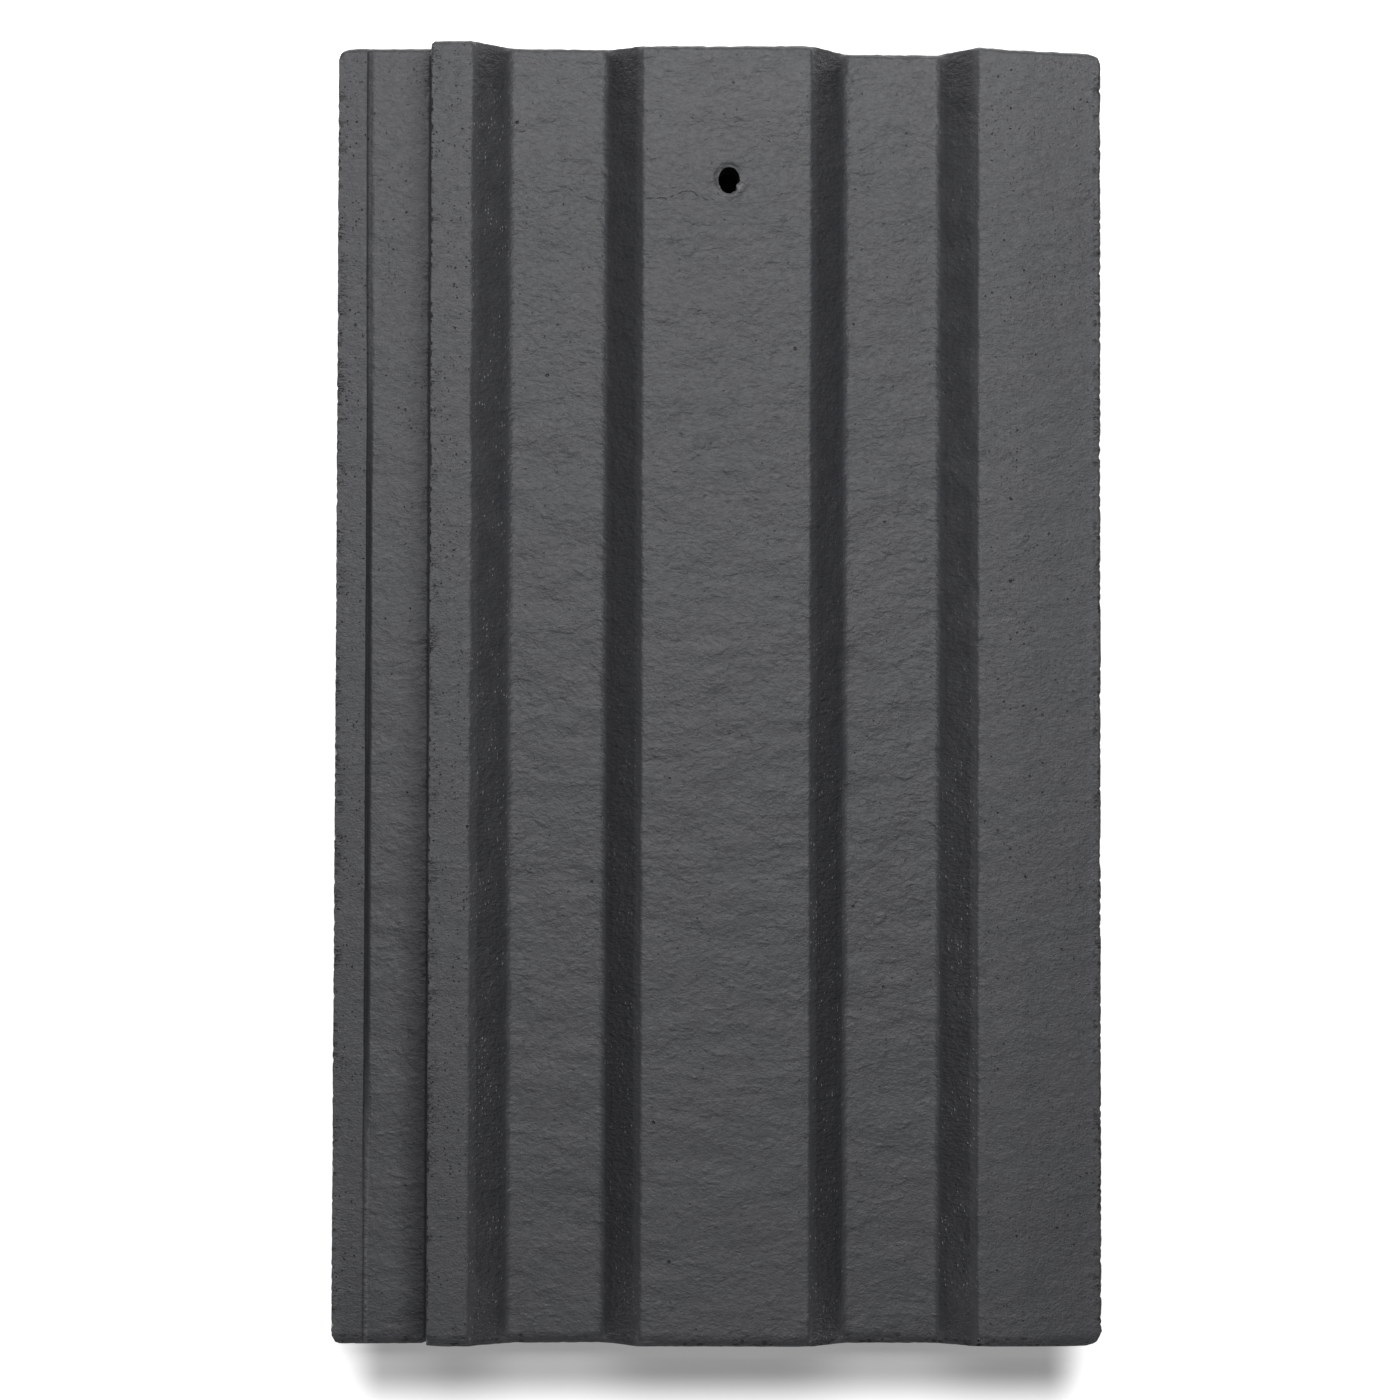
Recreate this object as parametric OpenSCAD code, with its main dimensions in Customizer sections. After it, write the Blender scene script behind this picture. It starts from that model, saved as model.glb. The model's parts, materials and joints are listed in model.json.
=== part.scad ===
// Interlocking concrete roof tile, one extruded and cured piece.
// Seen from above with its head away from the viewer, the tile has, from left to right,
// an underlock strip, half a rib, a pan, a full rib, a second pan and a cover flap.
// It is drawn level first, x across, y from tail to head, z up, with z = 0 under the pans,
// and then tipped to the angle at which it lies on its nibs and its tail bar.

/* [Tile] */
// Length from tail edge to head edge
tile_len = 387; // [330:1:430]
// Thickness of the concrete in the pans
thickness = 12.5; // [11:0.5:14]
// Radius of the four corners in plan
corner_r = 3.5; // [1:0.5:6]

/* [Profile widths] */
// Underlock strip on the left edge, which the next tile's flap covers
underlock_w = 28.3; // [26:0.1:34]
// Flat top of the half rib beside the underlock
half_rib_w = 12.9; // [11:0.1:18]
// Flat bottom of each pan
pan_w = 28.2; // [24:0.2:40]
// Flat top of the centre rib
rib_w = 50.2; // [40:0.2:60]
// Width of each slope between rib and pan
slope_w = 11; // [10:0.2:16]
// Cover flap, from the top of the last slope to the right edge
flap_w = 37.2; // [34:0.1:42]

/* [Profile heights] */
// Height of the ribs above the pans
rib_h = 12; // [9:0.5:14]
// Drop of the underlock strip below the pans
underlock_drop = 1.5; // [0.5:0.5:3]
// Fall of the flap's top towards its outer edge
flap_fall = 1; // [0.5:0.25:3]
// Gap between the flap and the underlock strip that it covers
lap_gap = 1; // [0.5:0.25:2]

/* [Edges] */
// Rounding of the top edge at the tail
tail_r = 3.5; // [2:0.5:6]
// Rounding of the top edge at the head
head_r = 2; // [1:0.5:4]
// Radius of the ribs' shoulders
shoulder_r = 2; // [1:0.25:3.5]
// Radius where the slopes meet the pans
valley_r = 3.5; // [2:0.5:6]

/* [Fixing] */
// Diameter of the nail hole
nail_hole_d = 6.5; // [5:0.5:8]
// Distance of the nail hole from the head
nail_hole_inset = 40.8; // [30:0.1:60]
// Distance of the nail hole to the right of the middle of the centre rib
nail_hole_offset = 0.6; // [-4:0.1:4]
// Depth of the nibs below the pans
nib_drop = 14; // [10:0.5:18]
// Depth of the weather bars below the underside
bar_drop = 4; // [2:0.5:5]

/* [Hidden] */

arc_steps = 4;
end_steps = 4;
// Farther than the tile reaches, up or down, and past its ends
deep = 80;
overshoot = 10;

// Places across the tile
body_x = underlock_w;
pan1_x = body_x + half_rib_w + slope_w;
rib_x = pan1_x + pan_w + slope_w;
pan2_x = rib_x + rib_w + slope_w;
flap_x = pan2_x + pan_w + slope_w;
tile_w = flap_x + flap_w;

// Heights
pan_z = thickness;
rib_z = pan_z + rib_h;
underlock_z = pan_z - underlock_drop;
flap_under_z = underlock_z + lap_gap;

// Groove between the two strips of the underlock, steep on its left and ramped on its right
groove_x = 9.45;
groove_w = 2.2;
groove_d = 1.2;
groove_wall = 0.5;
groove_ramp_r = 1.5;

// The flap is flat beside its slope and then falls gently to the edge
flap_flat_w = 13.3;
flap_edge_z = rib_z - flap_fall;
// Shallow groove under the flap that stops water creeping across the lap
drip_w = 4;
drip_d = 2;
drip_inset = 14;

// The underside's slopes are set back under the ribs, so the wall keeps its thickness
under_shift = 4;
// Small hollow under the half rib
half_hollow_h = 6;
half_hollow_x = body_x + 3;

// Draft of the step beside the underlock
step_draft = 0.4;
edge_r = 1;
lip_r = 0.9;
// The rollers leave the left edge and the step nearly sharp
arris_r = 0.3;
body_corner_r = 2.5;
// The flap's edge leaves room for no more than this rounding at the tail
tail_round = min(tail_r, flap_edge_z - flap_under_z - lip_r - edge_r - 0.5);
foot_r = 0.8;
fold_r = 30;
// Radius of the corners of the underside
under_r = 2.5;

// Nibs that hook over the batten
nib_w = 30;
nib_len = 24;
nib_tip_len = 11;
nib_taper = 3;
nib_r = 3;
nib_edge_r = 1.5;
nib_root = 4;
nib_face_y = tile_len - 30;

// Weather bars across the underside at the tail
bar_w = 6;
bar_pitch = 20;
bar_count = 2;
bar_inset = 8;
bar_draft = 8;
bar_root = 2;
bar_side = 3;

// The tile lies on the tail edge of the first bar and the lower edge of the nibs
nib_toe_y = nib_face_y + nib_edge_r;
rest_angle = atan((nib_drop - bar_drop) / (nib_toe_y - bar_inset));
rest_lift = bar_drop * cos(rest_angle) - bar_inset * sin(rest_angle);
// Ends of the tipped tile: the rounded rib at the tail, the lower edge of the pans at the head
tail_end_z = rib_z - tail_round;
rest_mid_y = (tile_len * cos(rest_angle) - tail_end_z * sin(rest_angle)) / 2;

// Unit vector from a to b
function toward(a, b) = (b - a) / norm(b - a);

// Points of the arc of radius r that rounds the corner b between a and c
function rounded(a, b, c, r) =
    let (u = toward(b, a), v = toward(b, c), half = acos(max(-1, min(1, u * v))) / 2)
    r <= 0 || half > 89.5 ? [b] :
    let (
        mid = b + (u + v) / norm(u + v) * r / sin(half),
        p = b + u * r / tan(half) - mid,
        q = b + v * r / tan(half) - mid,
        turn = 180 - 2 * half,
        side = p.x * q.y - p.y * q.x > 0 ? 1 : -1
    )
    [for (i = [0:arc_steps])
        let (t = side * turn * i / arc_steps)
        mid + [p.x * cos(t) - p.y * sin(t), p.x * sin(t) + p.y * cos(t)]];

// An outline of [x, z, radius] corners with its corners rounded, open at both ends
function smooth(pts) =
    [for (i = [0:len(pts) - 1])
        let (b = [pts[i].x, pts[i].y])
        each (i == 0 || i == len(pts) - 1 ? [b] :
            rounded([pts[i - 1].x, pts[i - 1].y], b, [pts[i + 1].x, pts[i + 1].y], pts[i].z))];

// The same for a closed outline
function smooth_loop(pts) =
    let (n = len(pts))
    [for (i = [0:n - 1])
        let (a = pts[(i + n - 1) % n], b = pts[i], c = pts[(i + 1) % n])
        each rounded([a.x, a.y], [b.x, b.y], [c.x, c.y], b.z)];

// Top of the tile, left to right
top_line = smooth([
    [0, 0, 0],
    [0, underlock_z, arris_r],
    [groove_x, underlock_z, 0],
    [groove_x + groove_wall, underlock_z - groove_d, 0],
    [groove_x + groove_w, underlock_z, groove_ramp_r],
    [body_x, underlock_z, foot_r],
    [body_x + step_draft, rib_z, arris_r],
    [body_x + half_rib_w, rib_z, shoulder_r],
    [pan1_x, pan_z, valley_r],
    [pan1_x + pan_w, pan_z, valley_r],
    [rib_x, rib_z, shoulder_r],
    [rib_x + rib_w, rib_z, shoulder_r],
    [pan2_x, pan_z, valley_r],
    [pan2_x + pan_w, pan_z, valley_r],
    [flap_x, rib_z, shoulder_r],
    [flap_x + flap_flat_w, rib_z, fold_r],
    [tile_w, flap_edge_z, lip_r],
    [tile_w, 0, 0],
]);

// Underside of the tile, left to right
under_line = smooth([
    [0, pan_z, 0],
    [0, 0, edge_r],
    [half_hollow_x, 0, under_r],
    [half_hollow_x + half_hollow_h, half_hollow_h, under_r],
    [pan1_x - under_shift, 0, under_r],
    [pan1_x + pan_w + under_shift, 0, under_r],
    [rib_x + under_shift, rib_h, under_r],
    [rib_x + rib_w - under_shift, rib_h, under_r],
    [pan2_x - under_shift, 0, under_r],
    [pan2_x + pan_w + under_shift, 0, under_r],
    [flap_x + under_shift, flap_under_z, under_r],
    [tile_w - drip_inset - drip_w, flap_under_z, 0],
    [tile_w - drip_inset - drip_w, flap_under_z + drip_d, 0],
    [tile_w - drip_inset, flap_under_z + drip_d, 0],
    [tile_w - drip_inset, flap_under_z, 0],
    [tile_w, flap_under_z, edge_r],
    [tile_w, rib_z, 0],
]);

// A line without its far ends, and a line from right to left
function inner(line) = [for (i = [1:len(line) - 2]) line[i]];
function reversed(line) = [for (i = [len(line) - 1:-1:0]) line[i]];

// The stretch of the underside that carries weather bars, from the underlock to the second pan
bar_end_x = pan2_x + pan_w;
bar_line = concat(
    [[bar_side, 0]],
    [for (p = under_line) if (p.x > body_x && p.x < bar_end_x) p],
    [[bar_end_x, 0]]);

// Places along the length where the top is drawn, each with how far its edge rounding has dropped it
stations = concat(
    [for (i = [0:end_steps])
        let (t = 90 * i / end_steps)
        [tail_round * (1 - cos(t)), tail_round * (1 - sin(t))]],
    [for (i = [end_steps:-1:0])
        let (t = 90 * i / end_steps)
        [tile_len - head_r * (1 - cos(t)), head_r * (1 - sin(t))]]);

// Everything under the top of the tile, lofted from tail to head through the stations
module under_top() {
    skin = inner(top_line);
    n = len(skin);
    last = len(stations) - 1;
    tail_base = n * (last + 1);
    head_base = tail_base + n;
    polyhedron(
        points = concat(
            [for (s = stations) each [for (p = skin) [p.x, s[0], p.y - s[1]]]],
            [for (y = [0, tile_len]) each [for (p = skin) [p.x, y, -deep]]]),
        faces = concat(
            [for (i = [0:last - 1], j = [0:n - 2])
                [i * n + j, (i + 1) * n + j, (i + 1) * n + j + 1, i * n + j + 1]],
            [for (j = [0:n - 2]) [j, j + 1, tail_base + j + 1, tail_base + j]],
            [for (j = [0:n - 2])
                [head_base + j, head_base + j + 1, last * n + j + 1, last * n + j]],
            [for (j = [0:n - 2])
                [tail_base + j, tail_base + j + 1, head_base + j + 1, head_base + j]],
            [[head_base, for (i = [last:-1:0]) i * n, tail_base]],
            [[tail_base + n - 1, for (i = [0:last]) i * n + n - 1, head_base + n - 1]]));
}

// Everything above the underside of the tile, longer than the tile
module above_underside() {
    translate([0, tile_len + overshoot, 0])
        rotate([90, 0, 0])
            linear_extrude(tile_len + 2 * overshoot)
                polygon(concat(inner(under_line), [[tile_w, deep], [0, deep]]));
}

// The extruded slab with its end edges and plan corners rounded
module slab() {
    intersection() {
        under_top();
        above_underside();
        translate([0, 0, -deep])
            linear_extrude(2 * deep)
                plan();
    }
}

// Outline in plan, with round corners
module plan() {
    translate([corner_r, 0])
        square([tile_w - 2 * corner_r, tile_len]);
    translate([0, corner_r])
        square([tile_w, tile_len - 2 * corner_r]);
    for (x = [corner_r, tile_w - corner_r], y = [corner_r, tile_len - corner_r])
        translate([x, y])
            circle(corner_r, $fn = 48);
}

// Rounds the body's head corner beside the underlock
module body_corner() {
    translate([body_x - 1, tile_len - body_corner_r, underlock_z])
        difference() {
            cube([body_corner_r + 1, body_corner_r + 1, 2 * rib_h]);
            translate([body_corner_r + 1, 0, -1])
                cylinder(r = body_corner_r, h = 2 * rib_h + 2, $fn = 48);
        }
}

// Nib under the middle of a pan, upright on the side that bears on the batten
module nib(mid_x) {
    intersection() {
        translate([mid_x - nib_w, 0, 0])
            rotate([90, 0, 90])
                linear_extrude(2 * nib_w)
                    polygon(smooth_loop([
                        [nib_face_y, nib_root, 0],
                        [nib_face_y, -nib_drop, nib_edge_r],
                        [nib_face_y + nib_tip_len, -nib_drop, nib_r],
                        [nib_face_y + nib_len, 0, 0],
                        [nib_face_y + nib_len, nib_root, 0],
                    ]));
        translate([mid_x, tile_len, 0])
            rotate([90, 0, 0])
                linear_extrude(tile_len)
                    polygon(smooth_loop([
                        [-nib_w / 2, nib_root, 0],
                        [-nib_w / 2, 0, 0],
                        [-nib_w / 2 + nib_taper, -nib_drop, nib_r],
                        [nib_w / 2 - nib_taper, -nib_drop, nib_r],
                        [nib_w / 2, 0, 0],
                        [nib_w / 2, nib_root, 0],
                    ]));
    }
}

// Weather bar across the underside, its foot starting at y0, with both flanks drafted
module weather_bar(y0) {
    height = bar_drop + rib_h + bar_root;
    spread = height * tan(bar_draft);
    intersection() {
        translate([0, y0 + 2 * bar_w, 0])
            rotate([90, 0, 0])
                linear_extrude(3 * bar_w)
                    polygon(concat(
                        [for (p = bar_line) [p.x, p.y - bar_drop]],
                        [for (p = reversed(bar_line)) [p.x, p.y + bar_root]]));
        translate([0, y0, -bar_drop])
            rotate([90, 0, 90])
                linear_extrude(tile_w)
                    polygon([[0, 0], [bar_w, 0], [bar_w + spread, height], [-spread, height]]);
    }
}

// The tile drawn level, its tail edge at y = 0
module level_tile() {
    difference() {
        union() {
            slab();
            nib(pan1_x + pan_w / 2);
            nib(pan2_x + pan_w / 2);
            for (i = [0:bar_count - 1])
                weather_bar(bar_inset + i * bar_pitch);
        }
        body_corner();
        translate([rib_x + rib_w / 2 + nail_hole_offset, tile_len - nail_hole_inset, rib_h - thickness])
            cylinder(d = nail_hole_d, h = 3 * thickness, $fn = 48);
    }
}

// The tile at rest, its box standing on z = 0 and centred on the origin
module tile() {
    color("dimgray")
        translate([-tile_w / 2, -rest_mid_y, rest_lift])
            rotate([rest_angle, 0, 0])
                level_tile();
}

tile();
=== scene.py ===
"""The looks of a flat-rib interlocking concrete roof tile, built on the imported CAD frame.

One closed mesh stands for the CAD tile: the CAD surface is diced into a fine grid, then its skin is waved, its edges
chipped and its ends roughened by seeded noise. Shapes are worked out in the tile's own level frame, in millimetres:
x across from the underlock's edge, y up from the tail edge, z up from the pans' underside.
"""

import itertools
import json
import math

import bmesh
import bpy
import numpy as np
from mathutils import Euler, Matrix, Vector


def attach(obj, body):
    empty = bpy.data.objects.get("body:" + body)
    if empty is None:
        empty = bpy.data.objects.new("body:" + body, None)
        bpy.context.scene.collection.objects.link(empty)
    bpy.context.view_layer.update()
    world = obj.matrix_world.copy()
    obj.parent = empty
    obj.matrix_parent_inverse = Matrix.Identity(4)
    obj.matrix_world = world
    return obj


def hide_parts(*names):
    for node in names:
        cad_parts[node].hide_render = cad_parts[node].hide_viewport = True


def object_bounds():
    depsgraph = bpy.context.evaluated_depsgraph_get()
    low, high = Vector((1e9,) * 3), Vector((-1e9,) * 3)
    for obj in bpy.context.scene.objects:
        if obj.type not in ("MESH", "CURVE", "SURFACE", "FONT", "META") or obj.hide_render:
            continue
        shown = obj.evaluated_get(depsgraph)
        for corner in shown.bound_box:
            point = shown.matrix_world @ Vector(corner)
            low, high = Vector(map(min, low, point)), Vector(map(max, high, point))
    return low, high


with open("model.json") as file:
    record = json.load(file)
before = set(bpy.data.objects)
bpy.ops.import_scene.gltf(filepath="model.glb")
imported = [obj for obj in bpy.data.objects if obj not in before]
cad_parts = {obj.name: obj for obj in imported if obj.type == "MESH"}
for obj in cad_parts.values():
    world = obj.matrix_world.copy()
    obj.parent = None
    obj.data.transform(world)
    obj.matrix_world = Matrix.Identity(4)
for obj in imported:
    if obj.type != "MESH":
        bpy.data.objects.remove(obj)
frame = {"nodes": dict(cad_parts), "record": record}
cad_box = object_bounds()

# --- the tile's own frame ---------------------------------------------------------------------------------------------

MM = 0.001
TILE_W, TILE_L = 229.0, 387.0
HOLE_AT = (117.1, 346.2, 18.25)  # middle of the nail hole
HOLE_R = 3.25
GROOVE_X = (9.45, 9.95, 11.65)  # left edge, bottom and right edge
GROOVE_D = 1.2
BODY_X = 28.3  # the step up from the underlock to the half rib
# The four slopes, and the heights of the underlock, the pans and the ribs
SLOPES = ((41.2, 52.2), (80.4, 91.4), (141.6, 152.6), (180.8, 191.8))
UNDERLOCK_Z, PAN_Z, RIB_Z = 11.0, 12.5, 24.5
# How far the head's and the tail's cut edges stand out of square, as (x, distance up the tile)
HEAD_EDGE = (
    (0, 0.15), (8, 0.5), (27, 0.5), (29, 0.6), (40, 0.8), (54, 0.6), (79, 0.45), (92, -0.45), (140, 0.05),
    (155, -0.35), (180, -0.35), (193, 0.0), (200, -0.6), (224, -1.5), (229, -1.7),
)
TAIL_EDGE = (
    (0, -0.75), (12, -0.65), (27, -0.6), (28.3, 0.7), (29.6, 0.3), (33, 0.05), (41, 0.05), (52, -0.2), (79, -0.05),
    (92, 0.0), (110, -0.1), (127, -0.25), (140, -0.35), (180, -0.4), (194, -0.25), (204, -0.6), (214, -0.5),
    (224, 0.0), (229, 0.1),
)
# How far the long lines stand off their places, as (x, distance across)
ACROSS = (
    (0, 0.0), (30, 0.0), (41, -0.2), (52, 0.3), (66, 0.4), (80, 0.5), (91, 0.3), (141, 0.35), (153, 0.1), (180, 0.0),
    (192, 0.0), (229, 0.0),
)
# How far the right side stands in, as (y, distance)
RIGHT_SIDE_IN = ((30, 0.1), (100, 0.25), (190, 0.33), (TILE_L, 0.4))
# The CAD's radius at the plan corners, then each corner's place, its real radius, and how far it then moves in
CAD_CORNER_R = 3.5
CORNERS = (
    (0.0, TILE_L, 3.9, 0.25),
    (TILE_W, TILE_L, 3.8, 0.25),
    (0.0, 0.0, 3.6, 0.1),
    (TILE_W, 0.0, 4.7, 0.15),
)
# For each slope: how thin its paint is, how flecked it is, and how much more flecked in the tile's lower half;
# the light flecks are partly painted glints
SLOPE_PAINT = ((0.8, 0.9, 0.2), (0.15, 0.1, 0.5), (0.25, 0.25, 0.9), (0.9, 0.3, 0.7))

hole_mount = next(m for m in frame["record"]["mounts"] if m["name"] == "nail_hole")
tilt = math.atan2(-hole_mount["axis"][1], hole_mount["axis"][2])
TO_ROW = (
    Matrix.Translation(hole_mount["pos_m"])
    @ Matrix.Rotation(tilt, 4, "X")
    @ Matrix.Scale(MM, 4)
    @ Matrix.Translation([-c for c in HOLE_AT])
)

# --- seeded noise -----------------------------------------------------------------------------------------------------


class Noise:
    """Gradient noise in three dimensions, about -1 to 1, the same for a seed on every run."""

    def __init__(self, seed):
        rng = np.random.default_rng(seed)
        self.table = rng.permutation(256)
        spread = rng.normal(size=(256, 3))
        self.slopes = spread / np.linalg.norm(spread, axis=1, keepdims=True)

    def __call__(self, p):
        cell = np.floor(p).astype(int)
        f = p - cell
        u = f * f * f * (f * (f * 6 - 15) + 10)
        total = np.zeros(len(p))
        for corner in itertools.product((0, 1), repeat=3):
            c = cell + corner
            h = self.table[c[:, 0] & 255]
            h = self.table[(h + c[:, 1]) & 255]
            h = self.table[(h + c[:, 2]) & 255]
            share = np.prod(np.where(corner, u, 1 - u), axis=1)
            total += share * ((f - corner) * self.slopes[h]).sum(1)
        return total * 1.7

    def layers(self, p, count, gain=0.5):
        """Octaves of the noise, each half the size of the last."""
        total, weight, size = np.zeros(len(p)), 0.0, 1.0
        for k in range(count):
            total += size * self(p * 2**k + 17.3 * k)
            weight += size
            size *= gain
        return total / weight


def ramp(v, low, high):
    """0 below low, 1 above high, smooth between them."""
    t = np.clip((v - low) / (high - low), 0, 1)
    return t * t * (3 - 2 * t)


def shelf(v, rise_from, rise_to, fall_from, fall_to):
    """1 between rise_to and fall_from, 0 outside the other two, smooth between them."""
    return ramp(v, rise_from, rise_to) * (1 - ramp(v, fall_from, fall_to))


def bell(v, middle, spread):
    """1 at the middle, falling off smoothly on both sides."""
    return np.exp(-(((v - middle) / spread) ** 2))


# --- the diced mesh ---------------------------------------------------------------------------------------------------


def dice(bm, faces, axis, cuts):
    """Cuts faces at planes across an axis and returns every piece of them."""
    normal = [0.0, 0.0, 0.0]
    normal[axis] = 1.0
    done, left = [], list(faces)
    for cut in sorted(cuts):
        edges = {e for f in left for e in f.edges}
        verts = {v for f in left for v in f.verts}
        point = [0.0, 0.0, 0.0]
        point[axis] = cut
        made = bmesh.ops.bisect_plane(
            bm,
            geom=list(verts) + list(edges) + left,
            dist=1e-4,
            plane_co=point,
            plane_no=normal,
        )
        pieces = {g for g in made["geom"] if isinstance(g, bmesh.types.BMFace)}
        pieces.update(f for f in left if f.is_valid)
        left = []
        for f in pieces:
            reach = max(v.co[axis] for v in f.verts)
            (left if reach > cut + 1e-4 else done).append(f)
    return done + left


def between(stops, pitch):
    """Cuts that share out each gap between the stops evenly, none wider than the pitch."""
    cuts = []
    for a, b in zip(stops, stops[1:]):
        n = math.ceil((b - a) / pitch - 1e-6)
        cuts += [a + (b - a) * i / n for i in range(1, n)]
    return cuts


def distinct(values, apart):
    """The values in rising order, without those that nearly repeat the last."""
    kept = []
    for v in sorted(values):
        if not kept or v - kept[-1] > apart:
            kept.append(v)
    return kept


def long_lines(faces):
    """Places across the tile of the profile's lines, which run from end to end."""
    edges = {e for f in faces for e in f.edges}
    runs = [
        e.verts[0].co.x
        for e in edges
        if abs(e.verts[0].co.y - e.verts[1].co.y) > 60
        and abs(e.verts[0].co.x - e.verts[1].co.x) < 0.02
    ]
    return distinct(runs, 0.05)


# Widest cells: across and along the top, up the walls, and on the underside
ACROSS_PITCH = 1.7
ALONG_PITCH = 1.3
WALL_PITCH = 2.0
UNDER_PITCH = 3.6
# Cuts close beside the sharp long edges, so that their shading doesn't spread over the flats
SUPPORTS = (
    0.55, GROOVE_X[0] - 0.3, GROOVE_X[1] + 0.5, GROOVE_X[1] + 1.1, GROOVE_X[2] + 0.3, BODY_X - 1.2, BODY_X + 0.95,
    TILE_W - 1.2,
)
# The roundings' facets turn by less than this, and the square corners by more
SHARP_FROM = math.radians(35)


def diced_tile():
    bm = bmesh.new()
    bm.from_mesh(frame["nodes"]["tile"].data)
    bm.transform(TO_ROW.inverted())
    bmesh.ops.remove_doubles(bm, verts=bm.verts, dist=0.002)
    bmesh.ops.dissolve_limit(
        bm, angle_limit=math.radians(0.2), verts=bm.verts, edges=bm.edges
    )
    bm.normal_update()
    top = [f for f in bm.faces if f.normal.z > -0.3]
    under = [f for f in bm.faces if f.normal.z <= -0.3]
    stops = distinct([0.0, *long_lines(top), *SUPPORTS, TILE_W], 0.05)
    top_x = between(stops, ACROSS_PITCH) + list(SUPPORTS)
    under_x = between([0.0] + long_lines(under) + [TILE_W], UNDER_PITCH)
    ends = [4.0, TILE_L - 3.0]
    top = dice(bm, top, 0, top_x)
    top = dice(bm, top, 1, [1.0, 2.2] + between(ends, ALONG_PITCH) + ends)
    bm.normal_update()
    walls = [f for f in top if abs(f.normal.z) < 0.5]
    heights = [0.0, UNDERLOCK_Z, RIB_Z]
    dice(bm, walls, 2, between(heights, WALL_PITCH))
    under = dice(bm, under, 0, under_x)
    dice(bm, under, 1, between([0.0, TILE_L], UNDER_PITCH))
    refine(bm)
    bm.normal_update()
    for e in bm.edges:
        e.smooth = e.calc_face_angle(0.0) < SHARP_FROM
    return bm


def near(bm, low, high):
    """The faces whose middle lies in a box."""
    found = []
    for f in bm.faces:
        c = f.calc_center_median()
        if all(a <= v <= b for a, v, b in zip(low, c, high)):
            found.append(f)
    return found


def refine(bm):
    """Finer cells round the nail hole, and along the edges that are chipped."""
    bands = (
        ((-1, -1, 6), (1.6, TILE_L + 1, 12)),
        ((BODY_X - 0.7, -1, UNDERLOCK_Z + 3), (BODY_X + 2.6, TILE_L + 1, RIB_Z + 1)),
        ((TILE_W - 1.6, -1, 14), (TILE_W + 1, TILE_L + 1, RIB_Z + 1)),
    )
    edges = set()
    for low, high in bands:
        for f in near(bm, low, high):
            edges.update(e for e in f.edges if abs(e.verts[0].co.y - e.verts[1].co.y) > ALONG_PITCH / 2)
    bmesh.ops.subdivide_edges(bm, edges=list(edges), cuts=1, use_grid_fill=True)
    low = (HOLE_AT[0] - 7, HOLE_AT[1] - 7, HOLE_AT[2] - 6)
    high = (HOLE_AT[0] + 7, HOLE_AT[1] + 7, RIB_Z + 1)
    edges = {e for f in near(bm, low, high) for e in f.edges if e.calc_length() > 0.5}
    bmesh.ops.subdivide_edges(bm, edges=list(edges), cuts=2, use_grid_fill=True)


# --- the skin's relief ------------------------------------------------------------------------------------------------


def rounder(p):
    """How far the points move in plan to give each corner its own radius, less towards the corner's middle point."""
    shift = np.zeros((len(p), 2))
    for x, y, r, inset in CORNERS:
        inward = np.array((1 if x == 0 else -1, 1 if y == 0 else -1))
        q = r - (p[:, :2] - (x, y)) * inward
        far = np.hypot(*q.T)
        near = (q > 0).all(1) & (far > 0)
        q, far = q[near], far[near]
        way = q / far[:, None]
        middle = r - CAD_CORNER_R
        along = middle * way.sum(1)
        reach = along + np.sqrt(np.maximum(along**2 - 2 * middle**2 + CAD_CORNER_R**2, 0))
        reach = np.minimum(reach, r / way.max(1))
        pull = np.minimum(far / reach, 1) ** 4 * (far * (1 - r / reach) + inset * ramp(2 * way.prod(1), 0, 0.7))
        shift[near] += way * pull[:, None] * inward
    return shift


def torn_skin(p):
    """How far the skin is torn, how strongly it waves, and its relief. The rollers left some strips smoother."""
    x, y, z = p.T
    half_rib_to, flap_from = SLOPES[0][0], SLOPES[3][1]
    torn = np.ones(len(p))
    torn -= 0.65 * (1 - ramp(x, GROOVE_X[0], GROOVE_X[2] + 1))
    torn -= 0.6 * shelf(x, BODY_X - 1, BODY_X + 1, half_rib_to - 1, half_rib_to + 1)
    torn -= 0.5 * ramp(x, flap_from, flap_from + 2)
    inner_strip = shelf(x, GROOVE_X[2], GROOVE_X[2] + 1, BODY_X - 1, BODY_X)
    torn -= (0.05 + 0.45 * ramp(y, 110, 260)) * inner_strip
    waves = torn * (0.64 + 0.3 * ramp(y, 30, 150) + 0.1 * ramp(y, 330, 385))

    swell = Noise(3).layers(p / (46, 30, 40), 2)
    bend = 1.2 * Noise(5)(p / (22, 12, 20))
    lump_at = np.column_stack([x / 13, (y + bend) / 8.5, z / 9])
    lumps = Noise(11).layers(lump_at, 2, 0.55)
    crease = Noise(12)(lump_at * (1.3, 1.6, 1.5))
    mood = 0.8 + 0.5 * Noise(13).layers(p / (26, 20, 26), 2)
    return torn, waves, 0.2 * swell + waves * mood * (0.62 * lumps - 0.12 * np.abs(crease))


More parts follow.
